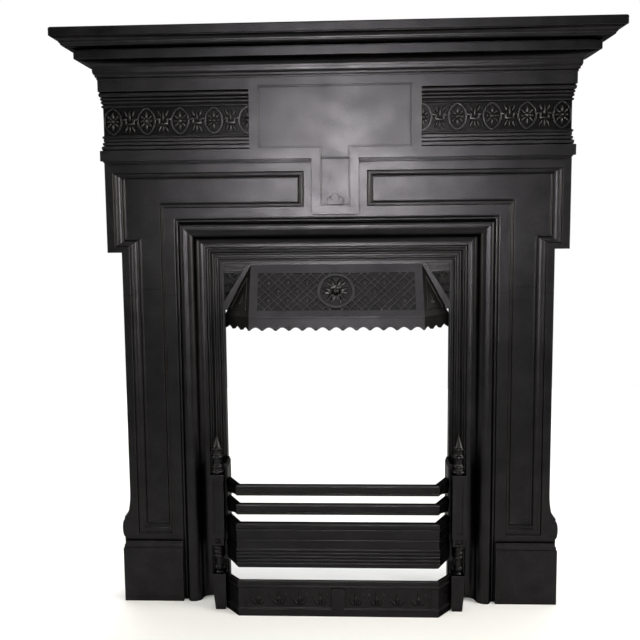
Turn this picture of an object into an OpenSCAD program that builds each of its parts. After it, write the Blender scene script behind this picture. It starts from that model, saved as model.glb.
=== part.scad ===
// Cast-iron combination fireplace: surround, shelf, hood, front bars and ash pan cover.
// Millimetres, +Z up, the front faces -Y, and the back stands flat against a wall.

/* [Overall] */
// Height from the hearth to the top of the shelf
total_h = 1219; // [1215:1:1225]
// Half the width of the shelf
shelf_half_w = 560; // [545:1:590]
// How far the shelf's front edge stands from the wall
shelf_d = 155; // [140:1:170]
// Depth of the flat jamb panels from the wall
panel_d = 50; // [46:1:60]
// Thickness of the iron behind the flat panels
wall_t = 9; // [6:1:12]

/* [Front casting] */
// Half the outer width of a jamb
jamb_half_w = 456; // [452:1:460]
// Half the outer width over the ears
ear_half_w = 486.5; // [480:0.5:490]
// Height of the underside of the ears
ear_z = 771; // [740:1:780]
// Half the width of the fire opening
open_half_w = 244; // [240:1:248]
// Height of the fire opening
open_h = 744.5; // [735:0.5:750]
// Height where the frieze starts
frieze_z = 957; // [955:1:960]
// Height of the underside of the shelf
shelf_z = 1185; // [1183:1:1187]
// How far the frame around the tablet stands before the jamb panels
tablet_rise = 24; // [20:1:26]
// How far the rail around the jamb panels stands before them
rail_rise = 7; // [5:1:8]

/* [Plinths] */
// Height of a plinth block
plinth_h = 136; // [134:1:138]
// How far a plinth stands before the jamb panels
plinth_rise = 17; // [14:1:20]
// Inner edge of a plinth from the centre line
plinth_in = 341; // [338:1:343]
// Outer edge of a plinth from the centre line
plinth_out = 472; // [468:1:476]

/* [Tablet] */
// Half the width of the tablet's frame
tablet_half_w = 177; // [170:1:180]
// Half the width of the tablet's plate
plate_half_w = 155; // [148:1:158]
// Half the outer width of the stem
stem_half_w = 49; // [44:1:54]
// Half the width of the stem's sunk face
stem_in = 28; // [24:1:32]
// Lowest point of the stem's frame
stem_z = 848; // [846:1:850]

/* [Frieze ornament] */
// Distance between rosette centres
rosette_pitch = 70.4; // [68:0.1:70.4]
// Half the width of the pointed oval ring round a rosette
rosette_half_w = 19.5; // [17:0.5:19.5]
// Number of rosettes on each side, the first half hidden by the tablet
rosettes = 5; // [3:1:5]

/* [Hood] */
// Half the width of the hood's front
hood_half_w = 184; // [182:1:186]
// Height of the fold between the sloping front and the valance
hood_fold_z = 634; // [630:1:640]
// How far the valance stands before the jamb panels
hood_rise = 33; // [30:1:40]
// Drop of the valance to the scallop tips
valance_h = 29; // [26:1:32]
// Depth of a scallop
scallop_h = 7; // [5:0.5:9]
// Scallops along the front
front_scallops = 13; // [11:1:15]
// Scallops along each cheek
cheek_scallops = 3; // [2:1:4]

/* [Grate] */
// Half the width of the straight front of the bars
bar_half_w = 211.5; // [208:0.5:213]
// How far the bars stand before the jamb panels
bar_rise = 79; // [76:1:82]
// Thickness of a bar
bar_t = 13; // [11:1:14]
// Height of a bar
bar_h = 22.5; // [19:0.5:24]
// Underside of the top bar
bar_z = 263; // [260:1:266]
// Distance from the underside of one bar to the next
bar_step = 41; // [40:1:43]
// Distance of each post from the centre line
post_x = 256.5; // [255:0.5:258]
// Width of the square part of a post
post_w = 28; // [27:0.5:29]
// How far the front of a post stands before the jamb panels
post_rise = 51; // [50:1:53]

/* [Ash pan cover] */
// Height of the cover
ash_h = 78.5; // [76:0.5:82]
// Thickness of the cover
ash_t = 6; // [5:1:8]

/* [Hidden] */
iron = [0.14, 0.14, 0.15];
// the origin lies under the middle of the whole depth, on the hearth
wall_y = shelf_d / 2;
// steps in each half circle of a moulding
arc_n = 8;
// a length that is longer than any part of the fireplace
far = 2000;

// ---- outlines -------------------------------------------------------------------------------

// half-round bead from a to b, standing rise above h
function bead(a, b, h, rise) =
    [for (i = [0:arc_n]) [a + (b - a) * (1 - cos(180 * i / arc_n)) / 2, h + rise * sin(180 * i / arc_n)]];
// convex quarter from (a, h) up to (b, k), upright at its start
function ovolo(a, h, b, k) =
    [for (i = [0:arc_n]) [a + (b - a) * (1 - cos(90 * i / arc_n)), h + (k - h) * sin(90 * i / arc_n)]];
// concave quarter from (a, h) to (b, k), level at its start
function cavetto(a, h, b, k) =
    [for (i = [0:arc_n]) [a + (b - a) * sin(90 * i / arc_n), h + (k - h) * (1 - cos(90 * i / arc_n))]];
// the same outline with its two coordinates changed over
function swap(pts) = [for (p = pts) [p[1], p[0]]];
// half-round bead on an upright face, from height a to height b
function upright_bead(a, b, h, rise) = swap(bead(a, b, h, rise));
// an outline given from the jamb panels' face, moved to start at the wall
function from_wall(pts) = [for (p = pts) [p[0] + panel_d, p[1]]];

// ---- placing --------------------------------------------------------------------------------

module both_sides() {
    children();
    mirror([1, 0, 0]) children();
}

// an outline in X and Z, from depth d0 to depth d1 before the wall
module plate(pts, d0, d1) {
    translate([0, wall_y - d0, 0]) rotate([90, 0, 0]) linear_extrude(d1 - d0) polygon(pts);
}

// a plain block by its X, Z and depth limits
module slab(x0, x1, z0, z1, d0, d1) {
    translate([x0, wall_y - d1, z0]) cube([x1 - x0, d1 - d0, z1 - z0]);
}

// an outline in depth and Z, run along X from -half to +half
module along_x(pts, half) {
    translate([-half, wall_y, 0]) mirror([0, 1, 0]) rotate([90, 0, 90])
        linear_extrude(2 * half) polygon(pts);
}

// a moulding that goes along the front and returns round both ends.
// pts is depth and Z, and at depth 0 the ends would stand at half.
module returned(pts, half) {
    intersection() {
        along_x(pts, far / 2);
        plate(concat([for (p = pts) [half + p[0], p[1]]],
                     [for (i = [len(pts) - 1:-1:0]) [-half - pts[i][0], pts[i][1]]]), -1, far);
    }
}

// one straight run of a mitred moulding. a and b are the inner corners, c and d the outer
// corners beyond b and a, turn is the way the outline faces, and pts is distance from the
// inner edge and height before the jamb panels.
module mitred_run(a, b, c, d, turn, pts) {
    reach = norm(b - a) + 2 * norm(c - b) + 2 * norm(d - a);
    intersection() {
        translate([(a[0] + b[0]) / 2, wall_y - panel_d, (a[1] + b[1]) / 2])
            rotate([0, turn, 0]) rotate([0, 90, 0]) rotate([0, 0, 180])
                linear_extrude(reach, center = true) polygon(pts);
        plate([a, b, c, d], 0, far);
    }
}

// ---- mantel shelf ---------------------------------------------------------------------------

shelf_edge = concat(
    [[0, shelf_z], [shelf_d - 22, shelf_z]],
    swap(ovolo(shelf_z, shelf_d - 22, shelf_z + 5, shelf_d - 17)),
    swap(cavetto(shelf_z + 6, shelf_d - 15, shelf_z + 15, shelf_d - 4)),
    [[shelf_d - 4, shelf_z + 17], [shelf_d, shelf_z + 17], [shelf_d, total_h - 2.5],
     [shelf_d - 2.5, total_h], [0, total_h]]);

module mantel_shelf() {
    color(iron) difference() {
        returned(shelf_edge, shelf_half_w - shelf_d);
        // hollow underside, closed where it lies on the cornice
        slab(-shelf_half_w + 34, shelf_half_w - 34, shelf_z - 1, total_h - wall_t,
             wall_t, shelf_d - 34);
    }
}

// ---- surround -------------------------------------------------------------------------------

// stepped slip, bolection and reeds, by distance from the edge of the opening
slip_d = -25;
reed_out = 119;
bolection = concat(
    [[0, -panel_d], [0, slip_d], [3.5, slip_d]],
    bead(4, 8.5, slip_d + 0.5, 1.8), bead(9, 14, slip_d + 2, 2),
    [[14.5, slip_d + 3.5], [18, slip_d + 3.5]],
    bead(18.5, 24, slip_d + 5, 3), [[24.5, slip_d + 6], [25.5, slip_d + 6]],
    bead(26, 29.5, slip_d + 9.5, 1.6), bead(30, 35, slip_d + 10.5, 1.8),
    [[35.5, slip_d + 11], [36, slip_d + 13]],
    cavetto(41, slip_d + 13, 56, 2), ovolo(56.2, 2.5, 77, 18), swap(ovolo(18, 78, 8, 87)),
    [[87.5, 3.5], [88, 4.5]],
    bead(88.5, 94.5, 4.5, 2.2), bead(95, 102.5, 5, 2.2), [[103, 4.5], [105.5, 4.5], [105.5, rail_rise]],
    [[reed_out, rail_rise], [reed_out, -panel_d]]);

module bolection_frame() {
    inner = [open_half_w, open_h];
    outer = inner + [reed_out, reed_out];
    mitred_run([-inner[0], inner[1]], inner, outer, [-outer[0], outer[1]], 0, bolection);
    both_sides()
        mitred_run([inner[0], 0], inner, outer, [outer[0], 0], 90, bolection);
}

// the sunk panel of a jamb: inner corners of its mouldings, then outer corners
panel_in = [[374, 179], [415, 179], [415, ear_z + 29], [446, ear_z + 29],
            [446, frieze_z - 32.5], [80, frieze_z - 32.5], [80, 876], [374, 876]];
panel_out = [[363, 150], [440, 150], [440, ear_z + 12], [470, ear_z + 12],
             [470, frieze_z - 18.5], [66, frieze_z - 18.5], [66, 864], [363, 864]];
// width of the moulding on each side, and the way it faces
panel_sides = [[29, 180], [25, 90], [17, 180], [24, 90], [14, 0], [14, -90], [12, 180], [11, -90]];

function panel_moulding(w) = concat(
    [[0, -8], [0, 0]],
    bead(0, 0.2 * w, 0, 1.6), ovolo(0.24 * w, 0.6, 0.62 * w, 4.6),
    bead(0.68 * w, 0.92 * w, 4.6, 1.7), [[w, rail_rise], [w, -8]]);

module panel_frame() {
    for (i = [0:len(panel_in) - 1]) {
        j = (i + 1) % len(panel_in);
        mitred_run(panel_in[i], panel_in[j], panel_out[j], panel_out[i],
                   panel_sides[i][1], panel_moulding(panel_sides[i][0]));
    }
}

// silhouette of one jamb's outer edge near the plinth: a hollow, a fillet and a roll
foot_edge = concat(
    [[jamb_half_w, 245]],
    [for (i = [1:arc_n]) [jamb_half_w + 13 * (1 - cos(90 * i / arc_n)), 245 - 56 * sin(90 * i / arc_n)]],
    [[470, 189], [470, 183]],
    [for (i = [0:arc_n]) [470 + 5 * sin(180 * i / arc_n), 163 + 20 * cos(180 * i / arc_n)]],
    [[470, plinth_h - 2]]);

module jamb_and_rail_slab() {
    difference() {
        plate(concat(
            [[open_half_w + 100, 0], [jamb_half_w, 0], [jamb_half_w, ear_z],
             [ear_half_w, ear_z], [ear_half_w, frieze_z + 10],
             [-ear_half_w, frieze_z + 10], [-ear_half_w, ear_z], [-jamb_half_w, ear_z],
             [-jamb_half_w, 0], [-open_half_w - 100, 0],
             [-open_half_w - 100, open_h + 100], [open_half_w + 100, open_h + 100]]),
            0, panel_d + rail_rise);
        both_sides() plate(panel_out, panel_d, far);
    }
    both_sides()
        plate(concat([[jamb_half_w - 8, 245]], foot_edge, [[jamb_half_w - 8, plinth_h - 2]]),
              0, panel_d + rail_rise);
}

plinth_edge = from_wall(concat(
    [[-panel_d, 0], [plinth_rise, 0], [plinth_rise, plinth_h - 15], [plinth_rise - 2, plinth_h - 15],
     [plinth_rise - 2, plinth_h - 8]],
    [[plinth_rise - 4, plinth_h - 6], [plinth_rise - 4, plinth_h], [-panel_d, plinth_h]]));

module plinths() {
    difference() {
        returned(plinth_edge, plinth_out - panel_d - plinth_rise);
        slab(-plinth_in, plinth_in, -1, plinth_h + 1, -1, far);
    }
}

// cornice and frieze in section, from the bottom up
field_d = 16;
field_z0 = 1017;
field_z1 = 1071;
// half width of the frieze where its outline would meet the wall
frieze_half_w = 416;
frieze_edge = from_wall(concat(
    [[-panel_d, frieze_z], [13, frieze_z], [13, frieze_z + 3], [19, frieze_z + 3],
     [19, frieze_z + 6], [tablet_rise, frieze_z + 6], [tablet_rise, 984], [18.5, 985.5]],
    [[20.5, 987], [20.5, 993], [field_d, 994.5], [18.5, 996], [18.5, 1001]],
    [[field_d - 1, 1002], [field_d + 1, 1003.5], [field_d + 1, 1008]],
    upright_bead(1009, 1015, field_d, 3),
    [[field_d, field_z0], [field_d, field_z1]],
    upright_bead(1072, 1077.5, field_d, 3),
    [[field_d + 0.5, 1079.5]],
    upright_bead(1080, 1086.5, field_d + 1, 2.6), upright_bead(1087, 1093, field_d + 2, 2.8),
    upright_bead(1093.7, 1103.5, field_d + 3.5, 3.6),
    [[tablet_rise, 1105], [tablet_rise, 1128], [25.5, 1129], [25.5, 1131], [24.5, 1131.5],
     [24.5, 1133], [28, 1133.5], [28, 1137]],
    swap(ovolo(1138, 29, 1147, 32)), swap(cavetto(1149, 32, 1164, 57)),
    [[60, 1165], [60, shelf_z - 4], [52, shelf_z - 4], [52, shelf_z], [-panel_d, shelf_z]]));

module cornice_and_frieze() {
    difference() {
        returned(frieze_edge, frieze_half_w);
        // the tablet takes the frieze's place between its upright edges
        slab(-tablet_half_w + 1, tablet_half_w - 1, frieze_z + 7, 1127, panel_d + field_d, far);
    }
}

// the T-shaped tablet: frame, sunk plate and the little crown at the stem's foot
plate_z0 = 988;
plate_z1 = 1109;
plate_sink = 4;
plate_bevel = 3;

function t_outline(grow) = [
    [-plate_half_w - grow, plate_z1 + grow], [-plate_half_w - grow, plate_z0 - grow],
    [-stem_in - grow, plate_z0 - grow], [-stem_in - grow, stem_z + 21 - grow],
    [stem_in + grow, stem_z + 21 - grow], [stem_in + grow, plate_z0 - grow],
    [plate_half_w + grow, plate_z0 - grow], [plate_half_w + grow, plate_z1 + grow]];

module tablet() {
    face = panel_d + tablet_rise;
    difference() {
        union() {
            slab(-tablet_half_w, tablet_half_w, frieze_z + 6, 1128, 0, face);
            slab(-stem_half_w, stem_half_w, stem_z, frieze_z + 10, 0, face);
        }
        plate(t_outline(plate_bevel), face - plate_sink / 2, far);
        plate(t_outline(0), face - plate_sink, far);
    }
    crown_z = stem_z + 20;
    slab(-15.5, 15.5, crown_z, crown_z + 9, face - wall_t, face + 1);
    for (x = [-15.5, -3.5, 8.5])
        slab(x, x + 7, crown_z + 8, crown_z + 14, face - wall_t, face + 1);
    translate([0, wall_y - face + wall_t, crown_z + 14]) rotate([90, 0, 0])
        cylinder(r = 8, h = wall_t + 1);
}

// pointed oval ring, as two arcs that cross at its foot and head, and the flower's round boss.
// the petals and links are finer than the solid
ring_arc_r = 30.7;
ring_w = 3;

module pointed_oval(r, h) {
    shift = ring_arc_r - rosette_half_w;
    intersection() {
        translate([shift, 0, 0]) cylinder(r = r, h = h);
        translate([-shift, 0, 0]) cylinder(r = r, h = h);
    }
}

module rosette(x) {
    translate([x, wall_y - panel_d - field_d + 1, (field_z0 + field_z1) / 2]) rotate([90, 0, 0]) {
        intersection() {
            difference() {
                pointed_oval(ring_arc_r, 3.5);
                translate([0, 0, -1]) pointed_oval(ring_arc_r - ring_w, 6);
            }
            translate([-ring_arc_r, (field_z0 - field_z1) / 2 - 1, 0])
                cube([2 * ring_arc_r, field_z1 - field_z0 + 2, 5]);
        }
        rotate_extrude() polygon([[0, 0], [4.5, 0], [4.5, 3], [3, 5], [0, 5.5]]);
    }
}

// corner plates beside the hood, with a rib along the slanting edge
module spandrel() {
    plate([[open_half_w + 1, open_h + 1], [hood_half_w - 1, open_h + 1], [hood_half_w - 1, open_h - 3],
           [open_half_w - 5, 646], [open_half_w + 1, 640]],
          panel_d + slip_d - 10, panel_d + slip_d - 3);
    plate([[hood_half_w - 1, open_h - 3], [hood_half_w + 9, open_h - 3], [open_half_w, 661],
           [open_half_w, 644], [open_half_w - 5, 646]],
          panel_d + slip_d - 10, panel_d + slip_d + 1);
    // ledge that closes the joint behind the hood's cheek
    plate([[hood_half_w + 1, open_h - 3], [hood_half_w - 1, open_h - 3], [open_half_w - 12, 642],
           [open_half_w - 4, 643.5], [open_half_w - 3, 646]],
          panel_d + slip_d - 10, panel_d + slip_d);
}

// hollow back, so that the iron is a shell as cast, with a flange on the wall
module back_pockets() {
    deep = panel_d - wall_t;
    // behind the frieze
    for (s = [-1, 0, 1])
        slab(s * 312 - 152, s * 312 + 152, frieze_z + 12, shelf_z - wall_t, -1, panel_d + 6);
    // behind the lintel panels and the ears
    both_sides() slab(12, ear_half_w - 10, 874, frieze_z - 2, -1, deep);
    both_sides() slab(open_half_w + 92, ear_half_w - 10, ear_z + 10, 875, -1, deep);
    // behind the jambs
    both_sides() slab(open_half_w + 92, jamb_half_w - 10, 12, ear_z - 2, -1, deep);
    // behind the bolection
    both_sides() slab(open_half_w + 52, open_half_w + 82, 12, open_h + 82, -1, deep);
    slab(-open_half_w - 52, open_half_w + 52, open_h + 52, open_h + 82, -1, deep);
    both_sides() slab(open_half_w + 12, open_half_w + 46, 12, open_h + 46, -1, 17);
}

module surround() {
    color(iron) difference() {
        union() {
            bolection_frame();
            jamb_and_rail_slab();
            both_sides() panel_frame();
            plinths();
            cornice_and_frieze();
            tablet();
            both_sides() for (i = [0:rosettes - 1]) rosette(tablet_half_w + 3 + i * rosette_pitch);
            both_sides() spandrel();
        }
        back_pockets();
    }
}

// ---- canopy hood ----------------------------------------------------------------------------

hood_t = 5;
hood_top_z = open_h - 3.5;
hood_back = slip_d;
hood_drop = hood_top_z - hood_fold_z;
hood_run = hood_rise - hood_back;
hood_len = norm([hood_drop, hood_run]);
hood_tilt = atan(hood_run / hood_drop);
// plan of a cheek: from the front corner back to the edge of the opening
cheek_back_x = open_half_w - 2;
cheek_len = norm([cheek_back_x - hood_half_w, hood_run]);
cheek_turn = atan2(hood_run, cheek_back_x - hood_half_w);

// half of the blunt tip between two scallops, as a share of their pitch
scallop_tip = 0.07;

// what one scallop takes away below a valance, in X and Z
function scallop(pitch) = concat([[pitch * scallop_tip, -valance_h - 1]],
    [for (i = [0:6]) [pitch * (scallop_tip + (1 - 2 * scallop_tip) * i / 6),
                      -valance_h + scallop_h * sin(30 * i)]],
    [[pitch * (1 - scallop_tip), -valance_h - 1]]);

// a flat outline in X and Z, made thick, with its front face on Y = 0
module sheet(pts, thick) {
    translate([0, thick, 0]) rotate([90, 0, 0]) linear_extrude(thick) polygon(pts);
}

// solid block of the hood: a sloping front with a triangular cheek at each end, over an
// upright valance. half is half the front's width, front and back are distances before the
// jamb panels, low is the underside, and the fold is at Z 0
module hood_block(half, front, back, low) {
    reach = (front - back) / tan(cheek_turn);
    plan = [[-half - reach, -back], [-half, -front], [half, -front], [half + reach, -back]];
    top = (front - back) * hood_drop / hood_run;
    polyhedron(
        concat([for (p = plan) [p[0], p[1], low]], [for (p = plan) [p[0], p[1], 0]],
               [[-half, -back, top], [half, -back, top]]),
        [[1, 5, 6, 2], [5, 8, 9, 6], [0, 4, 5, 1], [4, 8, 5], [2, 6, 7, 3], [6, 9, 7],
         [3, 7, 9, 8, 4, 0], [1, 2, 3, 0]]);
}

module scallop_cuts(len, n) {
    for (i = [0:n - 1]) translate([len * i / n, -1, 0]) sheet(scallop(len / n), hood_t + 3);
}

module canopy_hood() {
    field_x = hood_half_w - 17;
    color(iron) translate([0, wall_y - panel_d, hood_fold_z]) {
        difference() {
            hood_block(hood_half_w, hood_rise, hood_back, -valance_h);
            hood_block(hood_half_w - hood_t * tan(cheek_turn / 2), hood_rise - hood_t / cos(hood_tilt),
                       hood_back - 10, -valance_h - 1);
            translate([-hood_half_w, -hood_rise, 0]) scallop_cuts(2 * hood_half_w, front_scallops);
            both_sides() translate([hood_half_w, -hood_rise, 0]) rotate([0, 0, cheek_turn])
                scallop_cuts(cheek_len, cheek_scallops);
            // sunk field of the lattice
            translate([0, -hood_rise, 0]) rotate([-hood_tilt, 0, 0])
                translate([-field_x, -1, 15]) cube([2 * field_x, 2.5, hood_len - 35.5]);
        }
        // ring and boss of the roundel
        translate([0, -hood_rise, 0]) rotate([-hood_tilt, 0, 0])
            translate([0, 2, 0.49 * hood_len]) rotate([90, 0, 0]) {
            difference() {
                cylinder(r = 40, h = 3.5);
                translate([0, 0, 1]) cylinder(r = 34, h = 4);
            }
            cylinder(r = 5, h = 5);
        }
        // lip behind the head of the opening
        translate([-hood_half_w, -hood_back, hood_drop - 2])
            cube([2 * hood_half_w, 14, open_h - hood_top_z + 2]);
    }
}

// ---- front bars and posts -------------------------------------------------------------------

// the posts and the webs behind them
post_in = post_x - post_w / 2;
post_back = post_rise - post_w;
web_in = post_in - 6.5;
web_out = post_in + 7.5;
// how far the arms turn back, and how far they run
arm_turn = 61;
arm_len = (web_in + 3 - bar_half_w) / cos(arm_turn);
flare = 9;

// an outline of outward distance and Z, run from start to stop along X
module bar_run(pts, start, stop) {
    translate([start, 0, 0]) mirror([0, 1, 0]) rotate([90, 0, 90])
        linear_extrude(stop - start) polygon(pts);
}

// the same outline along the front and back along both splayed arms, mitred at the corners
module swept(pts, half, rise, turn, len) {
    corner = [half, wall_y - panel_d - rise];
    mitre = [-sin(turn / 2), cos(turn / 2)];
    run = len * [cos(turn), sin(turn)];
    out = corner - 8 * mitre;
    inner = corner + 40 * mitre;
    intersection() {
        translate([0, corner[1], 0]) bar_run(pts, -half - 20, half + 20);
        linear_extrude(far, center = true)
            polygon([out, inner, [-inner[0], inner[1]], [-out[0], out[1]]]);
    }
    both_sides() intersection() {
        translate(corner) rotate([0, 0, turn]) bar_run(pts, -20, len + 20);
        linear_extrude(far, center = true) polygon([out, out + run, inner + run, inner]);
    }
}

function bar_edge(z) = [
    [-bar_t + 1.5, z], [-2, z], [0, z + 2], [0, z + 5], [-1.5, z + 6], [-1.5, z + 7.5], [0, z + 8.5],
    [0, z + bar_h - 2.5], [-2, z + bar_h], [-bar_t + 1.5, z + bar_h], [-bar_t, z + bar_h - 1.5],
    [-bar_t, z + 1.5]];

plate_z = 106;
plate_h = 97.5;
reeds = 5;
reed_step = 7.4;
plate_edge = concat(
    [[-bar_t + 1.5, plate_z], [-3, plate_z], [0, plate_z + 3], [0, plate_z + 6]],
    [for (i = [0:reeds - 1], z = plate_z + 7 + reed_step * i) each upright_bead(z, z + 6.6, 0, 2.4)],
    [[0, plate_z + 45], [0, plate_z + 58]], upright_bead(plate_z + 59, plate_z + 63.5, 0, 2),
    [[0.5, plate_z + 65], [0.5, plate_z + 81]], upright_bead(plate_z + 82, plate_z + 86, 0.5, 2.2),
    [[1.5, plate_z + 87], [1.5, plate_z + plate_h - 2.5], [-1, plate_z + plate_h],
     [-bar_t + 1.5, plate_z + plate_h], [-bar_t, plate_z + plate_h - 1.5], [-bar_t, plate_z + 1.5]]);

// web under an arm, which deepens towards the post
module arm_flare(z) {
    both_sides() translate([bar_half_w, wall_y - panel_d - bar_rise, z]) rotate([0, 0, arm_turn])
        translate([0, bar_t - 2, 0]) rotate([90, 0, 0]) linear_extrude(bar_t - 3.5)
            polygon([[6, 2], [arm_len, -flare], [arm_len, 4], [6, 4]]);
}

// turned work above and below the square shaft
finial = concat(
    [[0, 295], [11, 295], [11, 298.5]], upright_bead(299, 307, 11, 3), [[10, 308.5], [10, 310.5]],
    upright_bead(311, 318, 9.5, 2.6), [[8.5, 320], [8.5, 331]], upright_bead(332, 340, 10, 3.2),
    [[9, 342], [9, 349]], upright_bead(350, 357, 9.5, 2.8), [[9, 358.5], [0.5, 380], [0, 380]]);
spindle = concat(
    [[0, 78], [9, 78], [9, 80], [7, 83]], upright_bead(86, 97, 7.5, 3.5), [[7, 99], [7, 110], [9.5, 112]],
    upright_bead(113, 121, 9.5, 2.2), upright_bead(122, 130, 9.5, 2.2), upright_bead(131, 140, 9.5, 2.2),
    [[10, 141], [10, 146], [0, 146]]);

module post() {
    mid = (post_rise + post_back) / 2;
    for (pts = [finial, spindle])
        translate([post_x, wall_y - panel_d - mid, 0]) rotate_extrude() polygon(pts);
    front = panel_d + post_rise;
    back = panel_d + post_back;
    // cap, shaft with its sunk panel, boss block and foot
    slab(post_in - 1, post_in + post_w + 1, 294.5, 298.5, back - 1, front + 1);
    difference() {
        slab(post_in, post_in + post_w, 161, 295, back, front);
        slab(post_in + 6, post_in + post_w - 6, 170, 286, front - 1.5, far);
    }
    difference() {
        slab(post_in + 1.5, post_in + post_w - 1.5, 143, 161.5, back + 1.5, front - 0.5);
        slab(post_in + 5, post_in + post_w - 5, 147, 158.5, front - 2.5, far);
    }
    translate([post_x, wall_y - front + 2.5, 152.5]) sphere(r = 3.5);
    plate([[post_in + 1, 0], [post_in + post_w - 6, 0], [post_in + post_w - 2.5, 32],
           [post_in + post_w - 1.5, 79], [post_in - 1, 79], [post_in - 0.5, 32]], back, front + 1);
    // web that ties the arms and the post to the surround
    plate([[web_in, 104], [web_out, 104], [web_out, 317], [web_in + 3, 317], [web_in, 309]],
          panel_d + slip_d, panel_d + post_back + 8);
}

module fire_bars() {
    color(iron) union() {
        for (z = [bar_z, bar_z - bar_step]) {
            swept(bar_edge(z), bar_half_w, bar_rise, arm_turn, arm_len);
            arm_flare(z);
        }
        swept(plate_edge, bar_half_w, bar_rise, arm_turn, arm_len);
        both_sides() post();
    }
}

// ---- ash pan cover --------------------------------------------------------------------------

ash_turn = 50;
ash_half_w = bar_half_w - 0.5;
ash_len = (post_in - 0.5 - ash_half_w) / cos(ash_turn);
ash_edge = concat(
    [[-ash_t, 0], [0, 0], [0, 11]], upright_bead(12.5, 17.5, 0, 2),
    [[-1, 18.5], [-1, 62]], upright_bead(63, 68, 0, 2),
    [[0, 69.5], [0, ash_h - 1.5], [-1.5, ash_h], [-ash_t, ash_h]]);

module ash_pan_cover() {
    front = panel_d + bar_rise;
    color(iron) {
        intersection() {
            swept(ash_edge, ash_half_w, bar_rise, ash_turn, ash_len + 10);
            slab(-post_in + 0.5, post_in - 0.5, -1, ash_h + 1, 0, far);
        }
        // finger tab
        plate([[-11, 12], [11, 12], [13.5, 18], [13.5, 56], [9, 63], [-9, 63], [-13.5, 56], [-13.5, 18]],
              front - 3, front + 4);
    }
}

mantel_shelf();
surround();
canopy_hood();
fire_bars();
ash_pan_cover();
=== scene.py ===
"""Looks of a blacked cast-iron fireplace surround: iron finish, cast ornament and a plain stage."""

import math

import bmesh
import bpy
from bpy.props import FloatProperty, FloatVectorProperty, IntProperty, PointerProperty
from mathutils import Matrix, Vector


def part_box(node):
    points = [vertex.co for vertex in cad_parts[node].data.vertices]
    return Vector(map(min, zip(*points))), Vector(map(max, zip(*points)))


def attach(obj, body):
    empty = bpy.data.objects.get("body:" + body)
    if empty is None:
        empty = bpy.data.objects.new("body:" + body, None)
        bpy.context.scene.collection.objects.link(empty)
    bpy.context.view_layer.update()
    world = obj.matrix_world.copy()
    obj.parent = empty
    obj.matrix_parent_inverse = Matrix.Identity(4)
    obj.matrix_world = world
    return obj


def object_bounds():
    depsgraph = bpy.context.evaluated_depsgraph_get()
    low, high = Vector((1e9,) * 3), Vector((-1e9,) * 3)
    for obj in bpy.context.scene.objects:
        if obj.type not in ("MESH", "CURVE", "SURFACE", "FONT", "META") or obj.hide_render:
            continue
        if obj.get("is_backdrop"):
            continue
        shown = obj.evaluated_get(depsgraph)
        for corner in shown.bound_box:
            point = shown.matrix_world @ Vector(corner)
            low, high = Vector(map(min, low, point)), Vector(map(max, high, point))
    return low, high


bl_info = {
    "name": "Cast-iron Fireplace Finish",
    "version": (1, 0, 0),
    "blender": (4, 5, 0),
    "location": "3D View > Sidebar > Fireplace",
    "description": "Dresses the cast-iron fireplace with its finish and its fine ornament",
    "category": "Add Mesh",
}

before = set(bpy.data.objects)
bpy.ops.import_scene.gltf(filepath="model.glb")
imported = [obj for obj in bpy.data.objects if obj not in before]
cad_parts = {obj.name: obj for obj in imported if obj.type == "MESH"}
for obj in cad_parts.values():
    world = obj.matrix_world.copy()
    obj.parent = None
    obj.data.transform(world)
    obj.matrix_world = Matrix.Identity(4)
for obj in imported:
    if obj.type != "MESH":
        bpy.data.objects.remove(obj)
CAD_BOX = [list(corner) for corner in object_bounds()]

MM = 0.001
BODY = "root"

# ---- places on the castings, all from the frame's own boxes ----------------------------------

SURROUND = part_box("surround")
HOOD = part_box("canopy_hood")
ASH_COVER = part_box("ash_pan_cover")

# the face of the flat jamb panels, which every other depth is given from
FACE_Y = SURROUND[1].y - 50 * MM
FRIEZE_Y = FACE_Y - 16 * MM
FRIEZE_Z = SURROUND[1].z - 141 * MM
FRIEZE_HALF_H = 27 * MM
# half width of the pointed oval rings and the arc that draws their middle line
RING_HALF_W = 18 * MM
RING_ARC = 29.2 * MM
# first rosette from the centre line
FIRST_ROSETTE_X = 180 * MM
# the sunk corner plates beside the hood
CORNER_Y = FACE_Y + 28 * MM
CORNER_Z = SURROUND[0].z + 685 * MM
CORNER_HALF_H = 38 * MM

# the hood's sloping front, from the fold up
HOOD_FOLD_Z = HOOD[0].z + 29 * MM
HOOD_RISE = 107 * MM
HOOD_RUN = 58 * MM
HOOD_TILT = math.atan2(HOOD_RUN, HOOD_RISE)
HOOD_SLOPE = math.hypot(HOOD_RUN, HOOD_RISE)
HOOD_HALF_W = 184 * MM
FIELD_SINK = 1.5 * MM
FIELD_HALF_W = HOOD_HALF_W - 17 * MM
FIELD_FOOT = 15 * MM
FIELD_HEAD = HOOD_SLOPE - 20.5 * MM
ROUNDEL_UP = 0.49 * HOOD_SLOPE
ROUNDEL_RING = 37 * MM


def linear(code):
    """The linear colour of an sRGB hex value such as '#1f1f21'."""
    channels = [int(code[i:i + 2], 16) / 255 for i in (1, 3, 5)]
    return [c / 12.92 if c <= 0.04045 else ((c + 0.055) / 1.055) ** 2.4 for c in channels]


# ---- what a user may change -------------------------------------------------------------------

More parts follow.
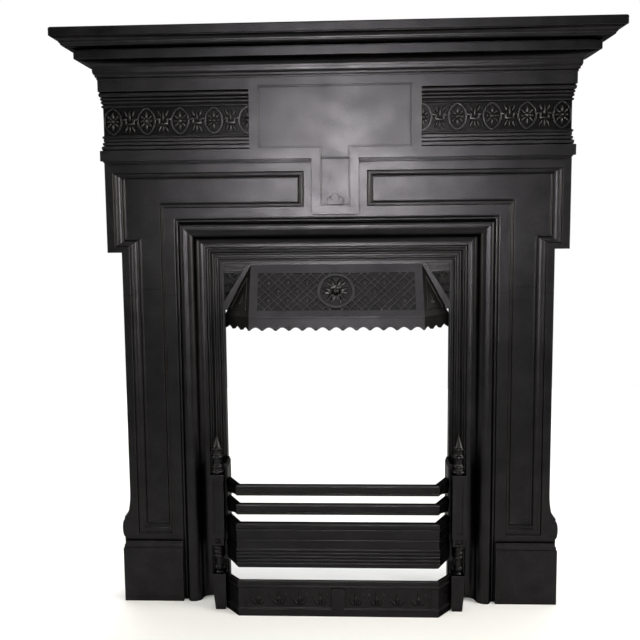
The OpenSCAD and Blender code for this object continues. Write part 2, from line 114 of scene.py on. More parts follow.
class FireplaceFinish(bpy.types.PropertyGroup):
    """The iron's colour and skin"""

    iron_colour: FloatVectorProperty(
        name="Iron", description="Colour of the blacked iron", subtype="COLOR",
        size=3, min=0, max=1, default=linear("#242324"))
    # colour of the edges: partly rubbed wear, partly painted highlight along every arris
    rubbed_and_highlight_colour: FloatVectorProperty(
        name="Rubbed edges", description="Colour where the blacking is rubbed bright",
        subtype="COLOR", size=3, min=0, max=1, default=linear("#514f4d"))
    roughness: FloatProperty(
        name="Roughness", description="Roughness of the polished blacking",
        subtype="FACTOR", min=0.05, max=1, default=0.34)
    grain: FloatProperty(
        name="Sand grain", description="Width of the grain that the sand mould leaves",
        unit="LENGTH", min=0.2 * MM, max=5 * MM, default=2.4 * MM)
    wave: FloatProperty(
        name="Wave", description="Length of the slight waves in a cast face",
        unit="LENGTH", min=5 * MM, max=100 * MM, default=34 * MM)
    # how far from a corner the painted shade in grooves and corners reaches
    crevice_shade: FloatProperty(
        name="Groove", description="How far from a corner the blacking gathers", unit="LENGTH",
        min=1 * MM, max=20 * MM, default=6 * MM)
    arris: FloatProperty(
        name="Arris", description="Radius that casting and blacking leave on an edge",
        unit="LENGTH", min=0.1 * MM, max=3 * MM, default=0.8 * MM)


class FireplaceFrieze(bpy.types.PropertyGroup):
    """The ornament of the frieze"""

    pitch: FloatProperty(
        name="Pitch", description="Distance between rosettes", unit="LENGTH",
        min=60 * MM, max=72 * MM, default=70.4 * MM)
    count: IntProperty(
        name="Rosettes", description="Rosettes on each side of the tablet", min=1, max=5, default=5)
    petals: IntProperty(
        name="Petals", description="Petals of a frieze flower", min=4, max=14, default=8)
    petal: FloatProperty(
        name="Petal", description="Length of a level petal", unit="LENGTH",
        min=4 * MM, max=12 * MM, default=9.5 * MM)
    rib: FloatProperty(
        name="Rib", description="Width of the ribs of an oval ring", unit="LENGTH",
        min=1 * MM, max=5 * MM, default=2.6 * MM)


class FireplaceHood(bpy.types.PropertyGroup):
    """The ornament of the hood"""

    lattice_pitch: FloatProperty(
        name="Lattice pitch", description="Level distance between pairs of lattice strips",
        unit="LENGTH", min=30 * MM, max=60 * MM, default=41 * MM)
    pair_gap: FloatProperty(
        name="Pair gap", description="Level distance between the two strips of a pair",
        unit="LENGTH", min=8 * MM, max=20 * MM, default=15 * MM)
    strip: FloatProperty(
        name="Strip", description="Width of a lattice strip", unit="LENGTH",
        min=1 * MM, max=5 * MM, default=2 * MM)
    petals: IntProperty(
        name="Petals", description="Double petals of the roundel's flower", min=4, max=10, default=6)


class FireplaceStage(bpy.types.PropertyGroup):
    """Floor, light and camera"""

    ground_colour: FloatVectorProperty(
        name="Ground", description="Colour of the floor and the backdrop", subtype="COLOR",
        size=3, min=0, max=1, default=linear("#f4f4f3"))
    key_power: FloatProperty(
        name="Key light", description="Power of the light behind the viewer", unit="POWER",
        min=0, max=500, default=5.5)
    top_power: FloatProperty(
        name="Top light", description="Power of the broad light overhead", unit="POWER",
        min=0, max=500, default=6)
    side_power: FloatProperty(
        name="Side light", description="Power of the broad light from the right, twice the left",
        unit="POWER", min=0, max=500, default=30)
    floor_power: FloatProperty(
        name="Floor light", description="Power of the light over the floor behind", unit="POWER",
        min=0, max=1000, default=330)
    lens: FloatProperty(
        name="Lens", description="Focal length of the camera in millimetres",
        min=20, max=100, default=45)


# ---- the iron -----------------------------------------------------------------------------------

# height of the waves and of the grain at full strength
RELIEF = 0.3 * MM
CLOUD = 70 * MM
# how near a surface lies to a sunk ground to count as part of it
PLANE_REACH = 0.6 * MM
# painted shade: what a sunk ground keeps of its brightness under the painted shade, and how much of
# that loss the hood's has
SHADED_GROUND_BRIGHTNESS = 0.3
HOOD_GROUND_SHADE_SHARE = 0.6


def add_node(tree, kind, links=(), values=(), **settings):
    """Adds a node, sets its attributes and sockets by name, then sets (socket, value) pairs and
    links (socket, output) pairs to it."""
    node = tree.nodes.new(kind)
    for key, value in settings.items():
        if hasattr(node, key):
            setattr(node, key, value)
        else:
            node.inputs[key.replace("_", " ")].default_value = value
    for socket, value in values:
        node.inputs[socket].default_value = value
    for socket, output in links:
        tree.links.new(output, node.inputs[socket])
    return node


def in_plane(tree, place, normal, distance):
    """One where the surface lies in a plane, to within PLANE_REACH, and nought elsewhere."""
    height = add_node(tree, "ShaderNodeVectorMath", operation="DOT_PRODUCT", links=[(0, place)],
                      values=[(1, normal)])
    return add_node(tree, "ShaderNodeMath", operation="COMPARE",
                    links=[(0, height.outputs["Value"])],
                    values=[(1, distance), (2, PLANE_REACH)]).outputs[0]


def shade_on_sunk_grounds(tree, place):
    """How much of its brightness the iron keeps: all of it, except on the sunk grounds of the
    frieze, the corner plates and the hood's lattice, which are darkened as painted shade."""
    level = add_node(tree, "ShaderNodeSeparateXYZ", links=[(0, place)]).outputs["Z"]
    grounds = []
    for depth, middle, reach in ((FRIEZE_Y, FRIEZE_Z, FRIEZE_HALF_H + 1 * MM),
                                 (CORNER_Y, CORNER_Z, CORNER_HALF_H)):
        in_band = add_node(tree, "ShaderNodeMath", operation="COMPARE", links=[(0, level)],
                           values=[(1, middle), (2, reach)]).outputs[0]
        on_plane = in_plane(tree, place, Vector((0, 1, 0)), depth)
        grounds.append(add_node(tree, "ShaderNodeMath", operation="MULTIPLY",
                                links=[(0, on_plane), (1, in_band)]).outputs[0])
    hood = hood_ground()
    inward = hood.to_3x3() @ Vector((0, 1, 0))
    on_hood = in_plane(tree, place, inward, inward.dot(hood.translation) + FIELD_SINK)
    grounds.append(add_node(tree, "ShaderNodeMapRange", To_Min=0.0, To_Max=HOOD_GROUND_SHADE_SHARE,
                            links=[(0, on_hood)]).outputs[0])
    sunk = grounds[0]
    for ground in grounds[1:]:
        sunk = add_node(tree, "ShaderNodeMath", operation="MAXIMUM",
                        links=[(0, sunk), (1, ground)]).outputs[0]
    return add_node(tree, "ShaderNodeMapRange", To_Min=1.0, To_Max=SHADED_GROUND_BRIGHTNESS,
                    links=[(0, sunk)]).outputs[0]


def blacked_cast_iron(finish, name, colour, grain_depth, polish, crevice_shade_brightness):
    """Grey cast iron from a sand mould, brushed with graphite blacking and buffed.

    It is nearly black, with a broad soft sheen that turns grey where it faces the light. The sand
    leaves a fine even grain, the buffing leaves cloudy patches, edges are painted lighter as rubbed
    wear and painted highlight, and grooves, corners and sunk grounds are painted darker as painted
    shade.
    """
    material = bpy.data.materials.new(name)
    material.use_nodes = True
    tree = material.node_tree
    shader = tree.nodes["Principled BSDF"]
    place = add_node(tree, "ShaderNodeTexCoord").outputs["Object"]

    # an edge is where the rounded surface turns away from the flat one; there the colour is
    # lightened, partly as rubbed wear and partly as painted highlight
    rounded = add_node(tree, "ShaderNodeBevel", samples=4, Radius=finish.arris)
    flat = add_node(tree, "ShaderNodeNewGeometry").outputs["Normal"]
    turned = add_node(tree, "ShaderNodeVectorMath", operation="DOT_PRODUCT",
                      links=[(0, rounded.outputs[0]), (1, flat)]).outputs["Value"]
    edge = add_node(tree, "ShaderNodeMapRange", From_Min=0.995, From_Max=0.86, To_Min=0.0,
                    To_Max=1.0, links=[(0, turned)]).outputs[0]

    # painted shade: the iron is darkened in grooves and corners, as far as the ambient occlusion
    # reaches
    open_sky = add_node(tree, "ShaderNodeAmbientOcclusion", samples=8, Distance=finish.crevice_shade)
    crevice_shade = add_node(tree, "ShaderNodeMapRange", From_Min=0.45, From_Max=0.85,
                      To_Min=crevice_shade_brightness, To_Max=1.0, links=[(0, open_sky.outputs["AO"])]).outputs[0]

    wave = add_node(tree, "ShaderNodeTexNoise", Scale=1 / finish.wave, Detail=2.0,
                    links=[("Vector", place)])
    # the real grain is a third of a millimetre wide, and is drawn as coarse as it needs to show
    grain = add_node(tree, "ShaderNodeTexNoise", Scale=1 / finish.grain, Detail=2.0,
                     Roughness=0.6, links=[("Vector", place)])
    # clouds a hand's width across, where the blacking was buffed more or less
    cloud = add_node(tree, "ShaderNodeTexNoise", Scale=1 / CLOUD, Detail=4.0,
                     Roughness=0.6, links=[("Vector", place)])
    soft = add_node(tree, "ShaderNodeBump", Strength=0.3, Distance=RELIEF,
                    links=[("Height", wave.outputs["Fac"]), ("Normal", rounded.outputs[0])])
    sandy = add_node(tree, "ShaderNodeBump", Strength=grain_depth, Distance=RELIEF,
                     links=[("Height", grain.outputs["Fac"]), ("Normal", soft.outputs[0])])

    # the grain takes the blacking unevenly, and the brush leaves it in blotches
    specks = add_node(tree, "ShaderNodeMapRange", From_Min=0.3, From_Max=0.7, To_Min=0.8,
                      To_Max=1.2, links=[(0, grain.outputs["Fac"])]).outputs[0]
    blotches = add_node(tree, "ShaderNodeMapRange", From_Min=0.3, From_Max=0.7, To_Min=0.86,
                        To_Max=1.14, links=[(0, wave.outputs["Fac"])]).outputs[0]

    # the edges take the rubbed colour, which is partly wear and partly painted highlight
    tone = add_node(tree, "ShaderNodeMix", data_type="RGBA", links=[("Factor", edge)],
                    values=[("A", (*colour, 1)), ("B", (*finish.rubbed_and_highlight_colour, 1))])
    shade = tone.outputs["Result"]
    # painted shade in grooves and on the sunk grounds, then the uneven grain specks and brush
    # blotches
    for part in (crevice_shade, shade_on_sunk_grounds(tree, place), specks, blotches):
        shade = add_node(tree, "ShaderNodeVectorMath", operation="SCALE",
                         links=[(0, shade), ("Scale", part)]).outputs[0]
    sheen = add_node(tree, "ShaderNodeMapRange", From_Min=0.3, From_Max=0.7,
                     To_Min=finish.roughness - polish - 0.04,
                     To_Max=finish.roughness - polish + 0.05,
                     links=[(0, cloud.outputs["Fac"])]).outputs[0]

    shader.inputs["Metallic"].default_value = 1.0
    # a film of graphite takes the glare off at a glancing angle
    shader.inputs["Specular Tint"].default_value = (0.3, 0.3, 0.3, 1)
    tree.links.new(shade, shader.inputs["Base Color"])
    tree.links.new(sheen, shader.inputs["Roughness"])
    tree.links.new(sandy.outputs[0], shader.inputs["Normal"])
    return material


def pale_plaster(stage):
    """Matt painted plaster: pale, even and without gloss, so that the iron reads clearly."""
    material = bpy.data.materials.new("matt_painted_plaster")
    material.use_nodes = True
    tree = material.node_tree
    shader = tree.nodes["Principled BSDF"]
    shader.inputs["Base Color"].default_value = (*stage.ground_colour, 1)
    shader.inputs["Roughness"].default_value = 0.9
    place = add_node(tree, "ShaderNodeTexCoord").outputs["Object"]
    grit = add_node(tree, "ShaderNodeTexNoise", Scale=1 / (3 * MM), links=[("Vector", place)])
    skin = add_node(tree, "ShaderNodeBump", Strength=0.05, Distance=0.1 * MM,
                    links=[("Height", grit.outputs["Fac"])])
    tree.links.new(skin.outputs[0], shader.inputs["Normal"])
    return material


# ---- shapes that the ornament is made of ----------------------------------------------------------
# On each ground X runs to the right, Z runs up and -Y stands out from the iron.

def settle(bm, verts, place):
    """Moves newly made verts from the drawing's ground to their place on the iron."""
    bmesh.ops.transform(bm, matrix=place, verts=verts)


def edges_of(verts):
    """The edges that meet the verts, each once, in the order of the verts."""
    return list(dict.fromkeys(edge for vert in verts for edge in vert.link_edges))


def leaf(bm, place, length, width, rise, sides=4):
    """A pointed leaf with its root at the origin, which grows up along Z. Four sides give it
    a sharp midrib, and more make a round petal."""
    made = bmesh.ops.create_uvsphere(bm, u_segments=sides, v_segments=6, radius=1)["verts"]
    for vert in made:
        along = (vert.co.z + 1) / 2
        # fullest near two fifths of the way, then drawn out to the tip
        slim = 1.25 - 0.55 * along
        vert.co = Vector((vert.co.x * slim * width / 2, vert.co.y * slim * rise, along * length))
    settle(bm, made, place)


def drop(bm, place, radius, rise):
    """A round bead, half sunk in the iron."""
    made = bmesh.ops.create_icosphere(bm, subdivisions=2, radius=1)["verts"]
    bmesh.ops.scale(bm, vec=(radius, rise, radius), verts=made)
    settle(bm, made, place)


def strap(bm, place, start, stop, width, rise):
    """A flat strip with softened edges, from start to stop (X and Z), sunk a little."""
    run = Vector(stop) - Vector(start)
    sink = 1 * MM
    made = bmesh.ops.create_cube(bm, size=1)["verts"]
    bmesh.ops.scale(bm, vec=(run.length, rise + sink, width), verts=made)
    bmesh.ops.translate(bm, vec=(run.length / 2, (sink - rise) / 2, 0), verts=made)
    top = [edge for edge in edges_of(made) if all(end.co.y < 0 for end in edge.verts)]
    worn = bmesh.ops.bevel(bm, geom=top, offset=min(0.22 * width, 0.8 * rise),
                           offset_type="OFFSET", affect="EDGES", segments=2, profile=0.5,
                           clamp_overlap=True, material=-1)
    made = list(dict.fromkeys(vert for vert in [*made, *worn["verts"]] if vert.is_valid))
    turn = Matrix.Rotation(-math.atan2(run.y, run.x), 4, "Y")
    settle(bm, made, place @ Matrix.Translation((start[0], 0, start[1])) @ turn)


def curl(bm, place, radius, sweep, width, rise):
    """A round rib bent to an arc that starts at (radius, 0) and sweeps about the origin,
    with a bud on its far end."""
    ring = bmesh.ops.create_circle(bm, segments=8, radius=1)["verts"]
    bmesh.ops.scale(bm, vec=(width / 2, rise, 1), verts=ring)
    bmesh.ops.translate(bm, vec=(radius, 0, 0), verts=ring)
    rim = edges_of(ring)
    steps = max(4, round(abs(sweep) / 0.35))
    far = bmesh.ops.spin(bm, geom=[*ring, *rim], cent=(0, 0, 0), axis=(0, -1, 0), angle=sweep,
                         steps=steps)["geom_last"]
    last = [part for part in far if isinstance(part, bmesh.types.BMVert)]
    tube = dict.fromkeys(ring)
    grown = ring
    while grown:
        grown = [end for edge in edges_of(grown) for end in edge.verts if end not in tube]
        tube.update(dict.fromkeys(grown))
    open_edges = [edge for edge in edges_of(tube) if edge.is_boundary]
    bmesh.ops.holes_fill(bm, edges=open_edges, sides=0)
    bud = sum((vert.co for vert in last), Vector()) / len(last)
    settle(bm, list(tube), place)
    drop(bm, place @ Matrix.Translation(bud), 0.8 * width, 1.1 * rise)


def turned_up(angle, out=0.0):
    """Turns the growing direction from up by angle, clockwise as seen, and moves out along it."""
    return Matrix.Rotation(angle, 4, "Y") @ Matrix.Translation((0, 0, out))


def at(x, z):
    return Matrix.Translation((x, 0, z))


def sided(side):
    """The right hand side as drawn, or its mirror image on the left."""
    return Matrix.Diagonal((side, 1, 1, 1))


def cast_on(bm, name, smooth, material):
    """Makes the drawn ornament a closed piece of the iron that rides with the castings."""
    bmesh.ops.remove_doubles(bm, verts=bm.verts, dist=0.01 * MM)
    bmesh.ops.recalc_face_normals(bm, faces=bm.faces)
    open_edges = [edge for edge in bm.edges if not edge.is_manifold]
    if open_edges:
        raise RuntimeError(f"{name} has {len(open_edges)} open edges")
    mesh = bpy.data.meshes.new(name)
    bm.to_mesh(mesh)
    bm.free()
    mesh.materials.append(material)
    mesh.polygons.foreach_set("use_smooth", [smooth] * len(mesh.polygons))
    piece = bpy.data.objects.new(name, mesh)
    bpy.context.scene.collection.objects.link(piece)
    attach(piece, BODY)


def ornament_iron():
    """The iron of the ornament, which is there once the castings have had their blacking."""
    return bpy.data.materials["buffed_cast_iron"]


# ---- operators -----------------------------------------------------------------------------------

class FIREPLACE_OT_blacking(bpy.types.Operator):
    """Gives every casting its blacked iron"""

    bl_idname = "fireplace.blacking"
    bl_label = "Blacking"

    def execute(self, context):
        finish = context.scene.fireplace_finish
        # each iron is given how dark its painted shade in grooves and corners may get
        sandy = blacked_cast_iron(finish, "blacked_cast_iron", finish.iron_colour,
                                  grain_depth=0.5, polish=0.0, crevice_shade_brightness=0.12)
        # ornament stands proud, so it is buffed a little brighter
        buffed = Vector(finish.iron_colour).lerp(Vector(finish.rubbed_and_highlight_colour), 0.15)
        blacked_cast_iron(finish, "buffed_cast_iron", buffed, grain_depth=0.25, polish=0.04,
                          crevice_shade_brightness=0.45)
        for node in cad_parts.values():
            for slot in node.material_slots:
                slot.material = sandy
        return {"FINISHED"}


class FIREPLACE_OT_frieze(bpy.types.Operator):
    """Casts flowers, pointed oval rings, stepped links and leaves on the frieze"""

    bl_idname = "fireplace.frieze"
    bl_label = "Frieze ornament"

    def flower(self, bm, centre, frieze):
        for i in range(frieze.petals):
            angle = 2 * math.pi * i / frieze.petals
            # the oval is taller than wide, and so is its flower
            reach = frieze.petal * (1 + 0.7 * abs(math.cos(angle)))
            leaf(bm, centre @ turned_up(angle, 4 * MM), reach, 6 * MM, 2.6 * MM, sides=6)
        drop(bm, centre, 4.2 * MM, 5 * MM)

    def ring(self, bm, centre, frieze):
        shift = RING_ARC - RING_HALF_W
        spread = math.acos(shift / RING_ARC) - 0.2
        for side in (-1, 1):
            foot = centre @ sided(side) @ at(-shift, 0) @ Matrix.Rotation(spread, 4, "Y")
            curl(bm, foot, RING_ARC, 2 * spread, frieze.rib, 2.6 * MM)

    def link(self, bm, centre, half_gap):
        """A strap that dips in a square step between two rings, with leaves above and below."""
        step = 8 * MM
        high = 4 * MM
        low = -5 * MM
        half_w = 1.6 * MM
        for side in (-1, 1):
            strap(bm, centre, (side * half_gap, high), (side * (step - half_w), high),
                  2 * half_w, 3.2 * MM)
            strap(bm, centre, (side * step, high), (side * step, low), 2 * half_w, 3.2 * MM)
            leaf(bm, centre @ at(side * 5 * MM, 8 * MM) @ turned_up(side * 0.35),
                 16 * MM, 6 * MM, 2.2 * MM)
            leaf(bm, centre @ at(side * 4 * MM, -8 * MM) @ turned_up(side * 2.75),
                 17 * MM, 6 * MM, 2.2 * MM)
        strap(bm, centre, (-step - half_w, low), (step + half_w, low), 2 * half_w, 3.4 * MM)
        leaf(bm, centre @ at(0, -2 * MM), 24 * MM, 6 * MM, 2.6 * MM)
        leaf(bm, centre @ at(0, -7 * MM) @ turned_up(math.pi), 19 * MM, 4.5 * MM, 2.4 * MM)

    def execute(self, context):
        frieze = context.scene.fireplace_frieze
        bm = bmesh.new()
        for side in (-1, 1):
            ground = Matrix.Translation((0, FRIEZE_Y, FRIEZE_Z)) @ sided(side)
            for i in range(frieze.count):
                x = FIRST_ROSETTE_X + i * frieze.pitch
                centre = ground @ at(x, 0)
                self.flower(bm, centre, frieze)
                self.ring(bm, centre, frieze)
                half_gap = frieze.pitch / 2 - RING_HALF_W
                if i < frieze.count - 1:
                    self.link(bm, ground @ at(x + frieze.pitch / 2, 0), half_gap)
        cast_on(bm, "frieze_ornament", True, ornament_iron())
        return {"FINISHED"}


class FIREPLACE_OT_lattice(bpy.types.Operator):
    """Casts the diagonal lattice with its small flowers on the hood"""

    bl_idname = "fireplace.lattice"
    bl_label = "Hood lattice"

    def clipped(self, start, run):
        """The stretches of a slanting line that lie in the field and outside the roundel."""
        marks = []
        inside = None
        steps = 400
        for i in range(steps + 1):
            point = Vector(start) + Vector(run) * i / steps
            clear = math.hypot(point.x, point.y - ROUNDEL_UP) > ROUNDEL_RING
            shown = abs(point.x) < FIELD_HALF_W and clear
            if shown and inside is None:
                inside = point
            if inside is not None and (not shown or i == steps):
                marks.append((inside, point))
                inside = None
        return marks

    def execute(self, context):
        hood = context.scene.fireplace_hood
        ground = hood_ground() @ Matrix.Translation((0, FIELD_SINK, 0))
        height = FIELD_HEAD - FIELD_FOOT
        middle = (FIELD_HEAD + FIELD_FOOT) / 2
        bm = bmesh.new()
        pairs = round(FIELD_HALF_W / hood.lattice_pitch) + 2
        for lean in (-1, 1):
            for k in range(-pairs, pairs + 1):
                for half in (-1, 1):
                    x = (k + 0.5) * hood.lattice_pitch + half * hood.pair_gap / 2
                    start = (x - lean * height / 2, FIELD_FOOT)
                    for a, b in self.clipped(start, (lean * height, height)):
                        if (b - a).length > 2 * hood.strip:
                            strap(bm, ground, a, b, hood.strip, (1.9 + 0.2 * lean) * MM)
        # a small flower in each open diamond
        for row in (-1, 0, 1):
            for k in range(-pairs, pairs + 1):
                x = (k + 0.5 * (row % 2)) * hood.lattice_pitch
                z = middle + row * hood.lattice_pitch / 2
                near = math.hypot(x, z - ROUNDEL_UP) < ROUNDEL_RING + 9 * MM
                if near or abs(x) > FIELD_HALF_W - 5 * MM:
                    continue
                centre = ground @ at(x, z)
                for i in range(4):
                    leaf(bm, centre @ turned_up(math.pi / 2 * i, 0.5 * MM), 5.5 * MM, 3.6 * MM,
                         1.5 * MM)
                drop(bm, centre, 1.4 * MM, 2 * MM)
        cast_on(bm, "hood_lattice", False, ornament_iron())
        return {"FINISHED"}


def hood_ground():
    """The hood's sloping front, with the origin in the middle of the fold."""
    return Matrix.Translation((0, HOOD[0].y, HOOD_FOLD_Z)) @ Matrix.Rotation(-HOOD_TILT, 4, "X")


class FIREPLACE_OT_roundel(bpy.types.Operator):
    """Casts the flower in the hood's round medallion"""

    bl_idname = "fireplace.roundel"
    bl_label = "Hood roundel"

    def execute(self, context):
        hood = context.scene.fireplace_hood
        # the floor of the medallion lies a millimetre under the hood's face
        centre = hood_ground() @ Matrix.Translation((0, 1 * MM, ROUNDEL_UP))
        bm = bmesh.new()
        turn = 2 * math.pi / hood.petals
        for i in range(hood.petals):
            for half in (-1, 1):
                angle = turn * (i + 0.5) + half * 0.2
                leaf(bm, centre @ turned_up(angle, 6 * MM), 25 * MM, 8 * MM, 2.6 * MM, sides=8)
            drop(bm, centre @ turned_up(turn * i, 13 * MM), 2.4 * MM, 2.2 * MM)
        for i in range(8):
            drop(bm, centre @ turned_up(math.pi / 4 * i, 6 * MM), 1.6 * MM, 4.5 * MM)
        drop(bm, centre, 4.6 * MM, 6 * MM)
        cast_on(bm, "roundel_flower", True, ornament_iron())
        return {"FINISHED"}


class FIREPLACE_OT_corner_leaves(bpy.types.Operator):
    """Casts the leaves on the hood's cheeks and in the corner plates beside it"""

    bl_idname = "fireplace.corner_leaves"
    bl_label = "Cheek and corner leaves"

    def cheek(self, bm, side):
        foot = Vector((HOOD_HALF_W, HOOD[0].y, HOOD_FOLD_Z))
        along = Vector((HOOD_RUN, HOOD_RUN, 0)).normalized()
        upward = Vector((0, HOOD_RUN, HOOD_RISE))
        out = along.cross(upward).normalized()
        rise = out.cross(along)
        ground = Matrix((along, -out, rise)).transposed().to_4x4()
        ground = sided(side) @ Matrix.Translation(foot) @ ground
        head = (upward.dot(along), upward.dot(rise))
        tail = (math.hypot(HOOD_RUN, HOOD_RUN), 0)
        centroid = Vector(((head[0] + tail[0]) / 3, head[1] / 3))
        corners = [Vector((0, 0)), Vector(tail), Vector(head)]
        inner = [centroid + (corner - centroid) * 0.62 for corner in corners]
        for a, b in zip(inner, inner[1:] + inner[:1]):
            strap(bm, ground, a, b, 2.2 * MM, 1.6 * MM)
        for turn, length in ((-0.75, 13), (0.0, 24), (0.75, 15)):
            leaf(bm, ground @ at(centroid.x, centroid.y - 13 * MM) @ turned_up(turn - 0.1),
                 length * MM, 6.5 * MM, 2 * MM)

    def corner(self, bm, side):
        head = 735 * MM
        ground = sided(side) @ Matrix.Translation((0, CORNER_Y, SURROUND[0].z))
        strap(bm, ground, (196 * MM, head), (243.5 * MM, head), 3 * MM, 2.6 * MM)
        strap(bm, ground, (200 * MM, head - 10 * MM), (243.5 * MM, head - 10 * MM),
              2.4 * MM, 2.2 * MM)
        # leaves and curls that shrink as the corner narrows downwards
        for k, z in enumerate((712, 693, 676)):
            size = 1 - 0.24 * k
            x = (228 + 4.5 * k) * MM
            spot = ground @ at(x, z * MM)
            for turn in (-1.15, -0.4, 0.4, 1.15):
                leaf(bm, spot @ turned_up(turn, 1.5 * MM), 12.5 * size * MM, 5 * size * MM,
                     2.4 * MM)
            curl(bm, spot @ at(-5.5 * size * MM, -4 * size * MM), 4 * size * MM,
                 4.2, 2 * size * MM, 1.8 * MM)
            drop(bm, spot, 2.2 * size * MM, 3 * MM)

    def execute(self, context):
        bm = bmesh.new()
        for side in (-1, 1):
            self.cheek(bm, side)
        cast_on(bm, "cheek_leaves", False, ornament_iron())
        bm = bmesh.new()
        for side in (-1, 1):
            self.corner(bm, side)
        cast_on(bm, "corner_leaves", False, ornament_iron())
        return {"FINISHED"}


class FIREPLACE_OT_ash_foliage(bpy.types.Operator):
    """Casts the low scrolls and leaves on the ash pan cover"""

    bl_idname = "fireplace.ash_foliage"
    bl_label = "Ash cover foliage"

    def execute(self, context):
        # the sunk face lies between the cover's two beads
        ground_y = FACE_Y - 78 * MM
        middle = ASH_COVER[0].z + 40 * MM
        pitch = 44 * MM
        bm = bmesh.new()
        for side in (-1, 1):
            ground = Matrix.Translation((0, ground_y, middle)) @ sided(side)
            for k in range(4):
                centre = ground @ at((k + 0.85) * pitch, 0)
                for half in (-1, 1):
                    hand = centre @ sided(half)
                    curl(bm, hand @ at(9 * MM, 4 * MM) @ Matrix.Rotation(math.pi, 4, "Y"),
                         8 * MM, 3.9, 2.4 * MM, 1.1 * MM)
                    leaf(bm, hand @ at(3 * MM, -16 * MM) @ turned_up(0.7), 19 * MM, 6 * MM,
                         1.1 * MM)
                leaf(bm, centre @ at(0, -16 * MM), 33 * MM, 7 * MM, 1.3 * MM)
            for x in (192, 198):
                strap(bm, ground, (x * MM, -20 * MM), (x * MM, 20 * MM), 2.6 * MM, 1 * MM)
        # low work near the hearth is blacked with its ground
        cast_on(bm, "ash_cover_foliage", True, bpy.data.materials["blacked_cast_iron"])
        return {"FINISHED"}


# half the side of the square floor, which ends before the light behind the piece fades
FLOOR_HALF_W = 2.2
# colour of the two side lights
WARM = (1.0, 0.97, 0.88)


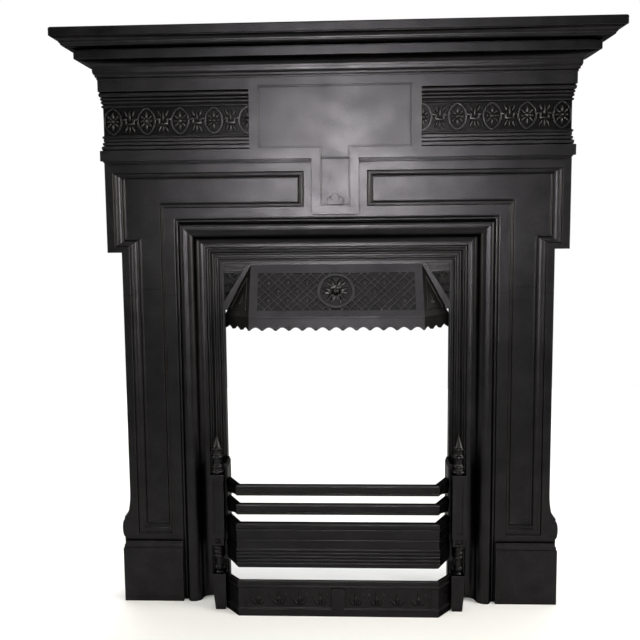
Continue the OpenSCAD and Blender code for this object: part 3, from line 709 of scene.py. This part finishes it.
class FIREPLACE_OT_stage(bpy.types.Operator):
    """Sets the floor, the backdrop, the lights and the camera"""

    bl_idname = "fireplace.stage"
    bl_label = "Stage"

    def ground(self, stage):
        bm = bmesh.new()
        bmesh.ops.create_grid(bm, x_segments=1, y_segments=1, size=FLOOR_HALF_W,
                              matrix=Matrix.Translation((0, 0, CAD_BOX[0][2])))
        mesh = bpy.data.meshes.new("floor")
        bm.to_mesh(mesh)
        bm.free()
        mesh.materials.append(pale_plaster(stage))
        floor = bpy.data.objects.new("floor", mesh)
        bpy.context.scene.collection.objects.link(floor)
        floor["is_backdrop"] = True

    def light(self, name, power, size, spot, target, spread, colour=(1, 1, 1)):
        data = bpy.data.lights.new(name, "AREA")
        data.shape = "RECTANGLE"
        data.size, data.size_y = size
        data.energy = power
        data.spread = math.radians(spread)
        data.color = colour
        lamp = bpy.data.objects.new(name, data)
        lamp.location = spot
        lamp.visible_camera = False
        lamp.rotation_euler = (Vector(target) - Vector(spot)).to_track_quat("-Z", "Y").to_euler()
        bpy.context.scene.collection.objects.link(lamp)

    def camera(self, stage):
        data = bpy.data.cameras.new("camera")
        data.lens = stage.lens
        data.shift_x = 0.022
        data.shift_y = -0.031
        eye = bpy.data.objects.new("camera", data)
        turn, nod, roll = (math.radians(a) for a in (2.56, 84.0, -0.636))
        eye.matrix_world = (Matrix.Translation((0.0115, -1.6675, 0.8445))
                            @ Matrix.Rotation(turn, 4, "Z") @ Matrix.Rotation(nod, 4, "X")
                            @ Matrix.Rotation(roll, 4, "Z"))
        bpy.context.scene.collection.objects.link(eye)
        bpy.context.scene.camera = eye

    def surroundings(self):
        """A white backdrop all round that sheds only a little light on the iron."""
        world = bpy.data.worlds.new("studio")
        world.use_nodes = True
        tree = world.node_tree
        seen = add_node(tree, "ShaderNodeLightPath").outputs["Is Camera Ray"]
        way = add_node(tree, "ShaderNodeTexCoord").outputs["Generated"]
        depth = add_node(tree, "ShaderNodeSeparateXYZ", links=[(0, way)]).outputs["Y"]
        # the backdrop behind the piece is bright, and the room before it is dim
        shed = add_node(tree, "ShaderNodeMapRange", From_Min=0.0, From_Max=0.5, To_Min=0.05,
                        To_Max=0.4, links=[(0, depth)]).outputs[0]
        strength = add_node(tree, "ShaderNodeMath", operation="MAXIMUM",
                            links=[(0, seen), (1, shed)]).outputs[0]
        background = tree.nodes["Background"]
        background.inputs["Color"].default_value = (1, 1, 1, 1)
        tree.links.new(strength, background.inputs["Strength"])
        bpy.context.scene.world = world

    def execute(self, context):
        stage = context.scene.fireplace_stage
        self.ground(stage)
        self.camera(stage)
        self.light("key", stage.key_power, size=(0.3, 0.6), spot=(0.035, -2.9, 1.04),
                   target=(0.02, 0, 0.9), spread=40)
        self.light("top", stage.top_power, size=(2.0, 1.2), spot=(0, -1.7, 2.8),
                   target=(0, -0.1, 0.6), spread=70)
        self.light("right", stage.side_power, size=(1.2, 1.2), spot=(2.4, -0.9, 1.3),
                   target=(0, 0, 0.7), spread=100, colour=WARM)
        self.light("left", stage.side_power / 2, size=(1.2, 1.2), spot=(-2.4, -0.9, 1.3),
                   target=(0, 0, 0.7), spread=100, colour=WARM)
        self.light("behind", stage.floor_power, size=(9.0, 5.0), spot=(0, 3.8, 3.0),
                   target=(0, 3.8, 0), spread=180)
        self.surroundings()
        context.scene.view_settings.view_transform = "Standard"
        return {"FINISHED"}


class FIREPLACE_PT_panel(bpy.types.Panel):
    """Lists the fireplace's parts"""

    bl_label = "Fireplace"
    bl_idname = "FIREPLACE_PT_panel"
    bl_space_type = "VIEW_3D"
    bl_region_type = "UI"
    bl_category = "Fireplace"

    def draw(self, context):
        for operator in OPERATORS:
            self.layout.operator(operator.bl_idname)
        for name in SETTINGS:
            group = getattr(context.scene, name)
            for key in group.__annotations__:
                self.layout.prop(group, key)


OPERATORS = (FIREPLACE_OT_blacking, FIREPLACE_OT_frieze, FIREPLACE_OT_lattice,
             FIREPLACE_OT_roundel, FIREPLACE_OT_corner_leaves, FIREPLACE_OT_ash_foliage,
             FIREPLACE_OT_stage)
SETTINGS = {
    "fireplace_finish": FireplaceFinish,
    "fireplace_frieze": FireplaceFrieze,
    "fireplace_hood": FireplaceHood,
    "fireplace_stage": FireplaceStage,
}


def register():
    for cls in (*SETTINGS.values(), *OPERATORS, FIREPLACE_PT_panel):
        bpy.utils.register_class(cls)
    for name, group in SETTINGS.items():
        setattr(bpy.types.Scene, name, PointerProperty(type=group))


def unregister():
    for name in SETTINGS:
        delattr(bpy.types.Scene, name)
    for cls in (FIREPLACE_PT_panel, *OPERATORS, *SETTINGS.values()):
        bpy.utils.unregister_class(cls)


def main():
    register()
    bpy.ops.fireplace.blacking()
    bpy.ops.fireplace.frieze()
    bpy.ops.fireplace.lattice()
    bpy.ops.fireplace.roundel()
    bpy.ops.fireplace.corner_leaves()
    bpy.ops.fireplace.ash_foliage()
    bpy.ops.fireplace.stage()


if __name__ == "__main__":
    main()
